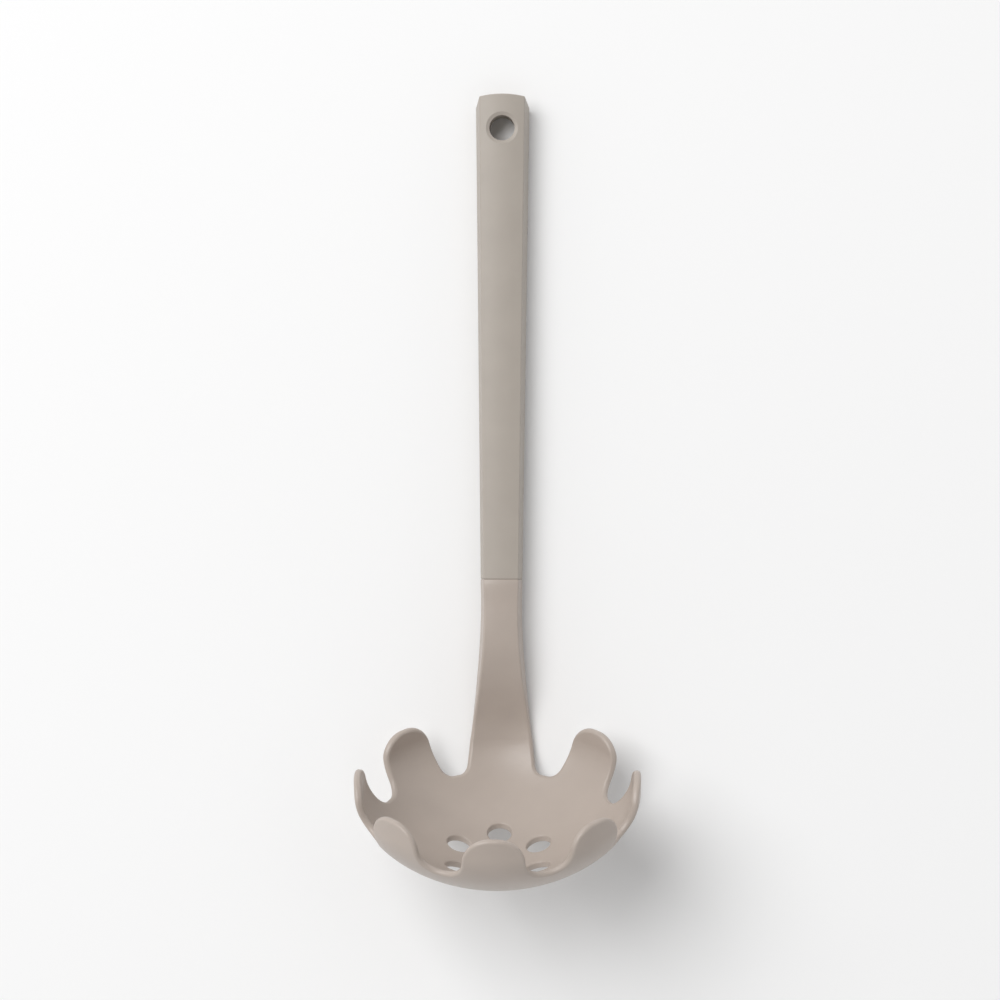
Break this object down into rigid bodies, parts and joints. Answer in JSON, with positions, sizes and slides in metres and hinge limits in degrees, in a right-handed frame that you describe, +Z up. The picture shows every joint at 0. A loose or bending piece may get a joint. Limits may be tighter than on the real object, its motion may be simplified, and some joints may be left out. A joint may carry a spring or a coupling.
{
  "type": "pasta server",
  "caption": "Pasta server with a deep straining bowl ringed by upright prongs, round drain holes, a curved neck and a long tapered handle with a hanging hole.",
  "frame": {"origin": "on the surface that the part lies on, under the middle of its length and width", "axes": "+Z up from the surface, +Y along the handle towards its hanging hole, +X across; the plane X = 0 halves the part"},
  "size_m": [0.1006, 0.2822, 0.0959],
  "materials": {
    "head_plastic": "satin, fine grain",
    "handle_plastic": "satin, fine grain",
    "bar_steel": "plain"
  },
  "bodies": {
    "root": {"head": "head_plastic", "handle": "handle_plastic", "stiffening_bar": "bar_steel"}
  },
  "joints": []
}
